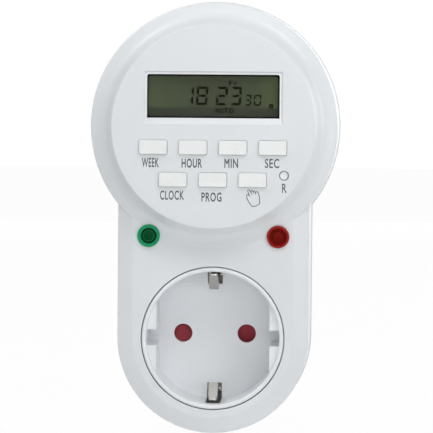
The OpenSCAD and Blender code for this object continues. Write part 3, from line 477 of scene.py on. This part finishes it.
# Words as a thin mesh that stands on the plane at depth y, width by tall millimetres, round the centre
def makeWords(name, words, centre, width, tall, y, spread, thick, spacing):
    bpy.ops.object.text_add(location=(0, 0, 0))
    text = bpy.context.object
    text.name = name
    text.data.body = words
    text.data.align_x = "CENTER"
    text.data.space_character = spacing
    text.data.bevel_depth = spread
    text.data.bevel_resolution = 0
    text.data.resolution_u = 4
    text.data.extrude = 0.01  # any thickness will do, as it is scaled to thick below
    makeActive(text)
    bpy.ops.object.convert(target="MESH")
    text = bpy.context.object
    corners = [Vector(corner) for corner in text.bound_box]
    low = Vector(min(c[i] for c in corners) for i in range(3))
    high = Vector(max(c[i] for c in corners) for i in range(3))
    middle = (low + high) / 2
    size = high - low
    text.data.transform(Matrix.Translation(-middle))
    text.scale = (width * mm / size.x, tall * mm / size.y, thick * mm / size.z)
    text.rotation_euler = (math.radians(90), 0, 0)
    text.location = (centre.x, y - thick * mm / 2, centre.z)
    return settle(text)


legendPieces = []
for key, words, aside, below, width, spread in legends:
    centre = keyCentre[key] + Vector((aside * mm, 0, -below * mm))
    legendPieces.append(makeWords(words, words, centre, width, printing["tall"], discFront, spread,
                                  printing["thick"], printing["spacing"]))
placePiece(joinPieces("key_legends", legendPieces), "timer", legendInk)

# open hand, the usual mark of a manual key: its outline in millimetres from the mark's centre
hand = {"aside": 0.27, "below": 5.1, "line": 0.13,
        "outline": [(-0.9, 0.3), (-1.4, 0.95), (-1.7, 1.0), (-1.95, 0.6), (-1.7, -0.4), (-1.05, -1.5),
                    (-0.3, -2.35), (0.05, -2.5), (0.95, -2.25), (1.85, -1.65), (1.9, -0.8), (1.8, 0.2),
                    (1.55, 1.15), (1.25, 1.75), (1.0, 1.9), (0.75, 1.65), (0.65, 1.0), (0.55, 1.8),
                    (0.3, 2.05), (0.1, 1.85), (0.1, 1.05), (0.0, 1.85), (-0.3, 2.2), (-0.65, 2.05),
                    (-0.35, 0.85), (-0.8, 1.85), (-1.1, 2.35), (-1.4, 2.4), (-1.6, 2.05), (-1.2, 0.85)]}
bpy.ops.curve.primitive_bezier_curve_add()
handMark = bpy.context.object
handMark.name = "hand_mark"
handLine = handMark.data.splines[0]
handLine.bezier_points.add(len(hand["outline"]) - 2)
for point, (x, z) in zip(handLine.bezier_points, hand["outline"]):
    point.co = Vector((x, 0, z)) * mm
    point.handle_left_type = point.handle_right_type = "VECTOR"
handLine.use_cyclic_u = True
handLine.resolution_u = 1
handMark.data.bevel_depth = hand["line"] * mm
handMark.data.bevel_resolution = 1
makeActive(handMark)
bpy.ops.object.convert(target="MESH")
handMark = bpy.context.object
handMark.scale.y = printing["thick"] / hand["line"]
handMark.location = keyCentre["key_manual"] + Vector((hand["aside"] * mm, 0, -hand["below"] * mm))
handMark.location.y = discFront
placePiece(settle(handMark), "timer", legendInk)
print("legends printed:", len(legends) + 1)


glassLow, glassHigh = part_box("lcd_glass")
glassFront = glassLow.y
glassMiddle = (glassLow + glassHigh) / 2
# the marks' slant in degrees, the spacing a share of the usual one, and the rest in millimetres, the
# depths measured forwards from the cell
display = {"slant": 4, "gap": 0.16, "thick": 0.03, "spacing": 1.3, "inkDepth": 0.05, "borderDepth": 0.09,
           "airGap": 0.12}
# words, sideways and upwards place from the display's centre, width, height, stroke
numbers = [
    ("1", -7.4, 0.12, 3.2, 5.4, 0.74), ("8", -3.33, 0.12, 3.35, 5.4, 0.74),
    ("2", 2.38, 0.12, 3.25, 5.4, 0.74), ("3", 6.5, 0.12, 3.1, 5.4, 0.74),
    ("3", 10.0, -1.05, 1.85, 3.25, 0.5), ("0", 12.72, -1.05, 2.1, 3.25, 0.48),
]
lit = {"0": "abcdef", "1": "bc", "2": "abged", "3": "abgcd", "8": "abcdefg"}  # the usual seven letters


# One bar of the display: a plane whose two ends are drawn out to points
def makePointedBar(length, stroke):
    bpy.ops.mesh.primitive_plane_add(size=1)
    bar = bpy.context.object
    bar.scale = ((length - stroke) * mm, stroke * mm, 1)
    settle(bar)
    for side in (-1, 1):
        pickVertices(bar, lambda spot: side * spot.x > (length - stroke) / 2 * mm - rounding)
        bpy.ops.object.mode_set(mode="EDIT")
        bpy.ops.mesh.extrude_region_move(TRANSFORM_OT_translate={"value": (side * stroke / 2 * mm, 0, 0)})
        bpy.ops.mesh.merge(type="CENTER")
        bpy.ops.object.mode_set(mode="OBJECT")
    return bar


# One bar with mitred ends, two strokes shorter at its inner side; inner is 1 for the upper side, else -1
def makeMitredBar(length, stroke, inner):
    bpy.ops.mesh.primitive_plane_add(size=1)
    bar = bpy.context.object
    bar.scale = (length * mm, stroke * mm, 1)
    settle(bar)
    pickVertices(bar, lambda spot: inner * spot.y > 0)
    bpy.ops.object.mode_set(mode="EDIT")
    bpy.ops.transform.resize(value=((length - 2 * stroke) / length, 1, 1), center_override=(0, 0, 0))
    bpy.ops.object.mode_set(mode="OBJECT")
    return bar


# One seven-bar number standing in the display's plane
def makeNumber(sign, aside, up, width, tall, stroke):
    lean = math.tan(math.radians(display["slant"]))
    gap = display["gap"]
    mitreGap = 1.4 * gap  # along the bar, for the gap across its two slanting ends
    # a and d lie at the top and the foot, g across the middle, and the others stand
    levels = {"a": 1, "d": -1}
    sides = {"b": (1, 1), "c": (1, -1), "e": (-1, -1), "f": (-1, 1)}
    bars = []
    for letter in lit[sign]:
        if letter == "g":
            bar = makePointedBar(width - stroke - gap, stroke)
            x, z, turn = 0, 0, 0
        elif letter in levels:
            bar = makeMitredBar(width - mitreGap, stroke, -levels[letter])
            z = levels[letter] * (tall - stroke) / 2
            x, turn = z * lean, 0
        else:
            right, upper = sides[letter]
            bar = makeMitredBar(tall / 2 - gap, stroke, right)
            z = upper * tall / 4
            x, turn = right * (width - stroke) / 2 + z * lean, 90 - display["slant"]
        bar.rotation_euler = (0, 0, math.radians(turn))
        bar.location = ((aside + x) * mm, (up + z) * mm, 0)
        bars.append(settle(bar))
    return bars


def standInDisplay(piece, y, thick=display["thick"]):
    piece.rotation_euler = (math.radians(90), 0, 0)
    piece.location = (glassMiddle.x, y, glassMiddle.z)
    settle(piece)
    applyModifier(piece, "SOLIDIFY", thickness=thick * mm, offset=0)


inkDepth = glassFront - display["inkDepth"] * mm
for name, row in (("display_numbers", numbers[:4]), ("display_seconds", numbers[4:])):
    bars = joinPieces(name, [bar for number in row for bar in makeNumber(*number)])
    standInDisplay(bars, inkDepth)
    placePiece(bars, "timer", segmentInk)

# words, sideways and upwards place from the display's centre, width, height, how far the ink spreads
marks = {"day": ("Fr", 5.65, 3.85, 2.5, 1.5, 0.02), "mode": ("AUTO", 3.05, -4.05, 5.5, 1.45, 0.04)}
markPieces = []
for name, (words, aside, up, width, tall, spread) in marks.items():
    centre = glassMiddle + Vector((aside * mm, 0, up * mm))
    markPieces.append(makeWords(name + "_mark", words, centre, width, tall, inkDepth, spread,
                                display["thick"], display["spacing"]))
placePiece(joinPieces("display_marks", markPieces), "timer", markInk)

# a round mark with a small hole in its middle
dot = {"aside": 16.62, "down": 2.74, "radius": 0.68, "hole": 0.2}
bpy.ops.mesh.primitive_circle_add(vertices=32, radius=dot["radius"] * mm, fill_type="NGON",
                                  location=(dot["aside"] * mm, -dot["down"] * mm, 0))
dotMark = settle(bpy.context.object)
dotMark.name = "display_dot"
bpy.ops.object.mode_set(mode="EDIT")
bpy.ops.mesh.select_all(action="SELECT")
bpy.ops.mesh.inset(thickness=(dot["radius"] - dot["hole"]) * mm)
bpy.ops.mesh.delete(type="FACE")
bpy.ops.object.mode_set(mode="OBJECT")
standInDisplay(dotMark, inkDepth)
placePiece(dotMark, "timer", segmentInk)


# A flat frame round a rounded rectangle of wide by tall, reaching outwards by line
def makeFrame(name, wide, tall, corner, line):
    bpy.ops.mesh.primitive_plane_add(size=1)
    piece = bpy.context.object
    piece.name = name
    piece.scale = (wide * mm, tall * mm, 1)
    settle(piece)
    bpy.ops.object.mode_set(mode="EDIT")
    bpy.ops.mesh.select_all(action="SELECT")
    bpy.ops.mesh.bevel(offset=corner * mm, segments=5, affect="VERTICES")
    bpy.ops.mesh.select_mode(type="EDGE")
    bpy.ops.mesh.select_all(action="SELECT")
    bpy.ops.mesh.extrude_edges_move()
    bpy.ops.transform.resize(value=((wide + 2 * line) / wide, (tall + 2 * line) / tall, 1))
    bpy.ops.mesh.select_mode(type="FACE")
    bpy.ops.mesh.select_face_by_sides(number=4, type="GREATER", extend=False)  # the middle, left open
    bpy.ops.mesh.delete(type="ONLY_FACE")
    bpy.ops.mesh.select_all(action="SELECT")
    bpy.ops.mesh.normals_make_consistent(inside=False)
    bpy.ops.object.mode_set(mode="OBJECT")
    return piece


# black border printed round the back of the window, a touch off to the left
borderLook = {"wide": 37.5, "tall": 11.6, "corner": 0.6, "line": 1.1, "aside": -0.12}
border = makeFrame("display_border", borderLook["wide"], borderLook["tall"], borderLook["corner"],
                   borderLook["line"])
border.location.x = borderLook["aside"] * mm
standInDisplay(settle(border), glassFront - display["borderDepth"] * mm)
placePiece(border, "timer", borderInk)

# white lip in the foot of the opening's slope, above and beside the window; its lower bar is in the sill
lipLook = {"wide": 38.3, "tall": 15, "corner": 0.65, "line": 0.45, "front": 0.45, "back": 1.2, "down": 1.2}
lip = makeFrame("window_lip", lipLook["wide"], lipLook["tall"], lipLook["corner"], lipLook["line"])
lip.location.y = -lipLook["down"] * mm
lipMiddle = (lipLook["front"] + lipLook["back"]) / 2
standInDisplay(settle(lip), discFront + lipMiddle * mm, lipLook["back"] - lipLook["front"])
placePiece(lip, "timer", finishes["key_plastic"])

# the window's copy stands clear of the cell, which leaves the marks their air gap
window = copyNode("lcd_window")
for vertex in window.data.vertices:
    if vertex.co.y > glassFront - 0.01 * mm:  # the window's back face
        vertex.co.y = glassFront - display["airGap"] * mm
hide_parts("lcd_window")
placePiece(window, "timer", finishes["clear_window"])
print("display made")


# 1 where the camera sees a thing straight, mirrored or through glass, 0 where it only sends light
def seenDirectly(tree):
    lightPath = addNode(tree, "ShaderNodeLightPath")
    seen = addNode(tree, "ShaderNodeMath", {"operation": "MAXIMUM"},
                   {0: (lightPath, "Is Camera Ray"), 1: (lightPath, "Is Glossy Ray")})
    return addNode(tree, "ShaderNodeMath", {"operation": "MAXIMUM"},
                   {0: (seen, 0), 1: (lightPath, "Is Transmission Ray")})


# white paper, rolled: plain, lit from within but for a small share that shows the object's shadow
floorLook = {"white": "#ffffff", "shadowShare": 0.03, "side": 6000, "below": 0.1}
bpy.ops.mesh.primitive_plane_add(size=floorLook["side"] * mm,
                                 location=(0, 0, cadBox[0].z - floorLook["below"] * mm))
floor = bpy.context.object
floor.name = "floor"
floorMaterial, tree = startMaterial("whitePaper")
share = addNode(tree, "ShaderNodeMath", {"operation": "MULTIPLY", 1: 1 - floorLook["shadowShare"]},
                {0: (seenDirectly(tree), 0)})
paper = addNode(tree, "ShaderNodeBsdfDiffuse", {"Color": fromHex(floorLook["white"])})
white = addNode(tree, "ShaderNodeEmission", {"Color": fromHex(floorLook["white"]), "Strength": 1})
mixed = addNode(tree, "ShaderNodeMixShader", links={0: (share, 0), 1: (paper, 0), 2: (white, 0)})
endMaterial(tree, mixed)
floor.data.materials.append(floorMaterial)

world = bpy.data.worlds.new("studio")
bpy.context.scene.world = world
world.use_nodes = True
tree = world.node_tree
tree.nodes.clear()
skyLook = {"fill": "#f4f7f9", "fillStrength": 0.2, "white": "#ffffff"}
fill = addNode(tree, "ShaderNodeBackground", {"Color": fromHex(skyLook["fill"]),
               "Strength": skyLook["fillStrength"]})
white = addNode(tree, "ShaderNodeBackground", {"Color": fromHex(skyLook["white"]), "Strength": 1})
mixed = addNode(tree, "ShaderNodeMixShader",
                links={0: (seenDirectly(tree), 0), 1: (fill, 0), 2: (white, 0)})
addNode(tree, "ShaderNodeOutputWorld", links={"Surface": (mixed, 0)})

# name, place and size in metres, and power in watts; each lamp points at the middle of the disc
headCentre = Vector((0, discFront, discUp))
lamps = [
    ("frontLamp", (0.1, -1.3, 0.15), 0.8, 2.54),
    ("topLamp", (0.0, -0.25, 0.30), 0.2, 0.18),
    ("topRightLamp", (0.15, -0.22, 0.28), 0.12, 0.25),
    ("upperLeftLamp", (-0.45, -0.15, 0.65), 0.4, 1.92),
    ("lowRightLamp", (0.45, -0.6, -0.02), 0.3, 0.84),
    ("rightRimLamp", (0.8, 0.25, 0.2), 0.4, 1.32),
    ("rightBackLamp", (0.5, 0.55, 0.2), 0.4, 1.1),
    ("backLamp", (-0.1, 1.3, 0.1), 0.8, 2.4),
]
for name, place, size, power in lamps:
    bpy.ops.object.light_add(type="AREA", location=place)
    lamp = bpy.context.object
    lamp.name = name
    lamp.data.shape = "DISK"
    lamp.data.size = size
    lamp.data.energy = power
    lamp.rotation_euler = (Vector(place) - headCentre).to_track_quat("Z", "Y").to_euler()

# a long lens, a little above and to the right of the socket's axis, turned by a fraction of a degree
shot = {"place": (31.6, -780, 69.6), "aim": (0.9, -30, 35.7), "lens": 214.2, "sensor": 36, "roll": 0.45}
bpy.ops.object.camera_add(location=[v * mm for v in shot["place"]])
camera = bpy.context.object
camera.data.sensor_width = shot["sensor"]
camera.data.lens = shot["lens"]
camera.data.clip_start = 10 * mm
sight = Vector(shot["place"]) - Vector(shot["aim"])
camera.rotation_euler = (sight.to_track_quat("Z", "Y").to_matrix()
                         @ Matrix.Rotation(math.radians(shot["roll"]), 3, "Z")).to_euler()
bpy.context.scene.camera = camera
bpy.context.scene.view_settings.view_transform = "Standard"
print("studio set")
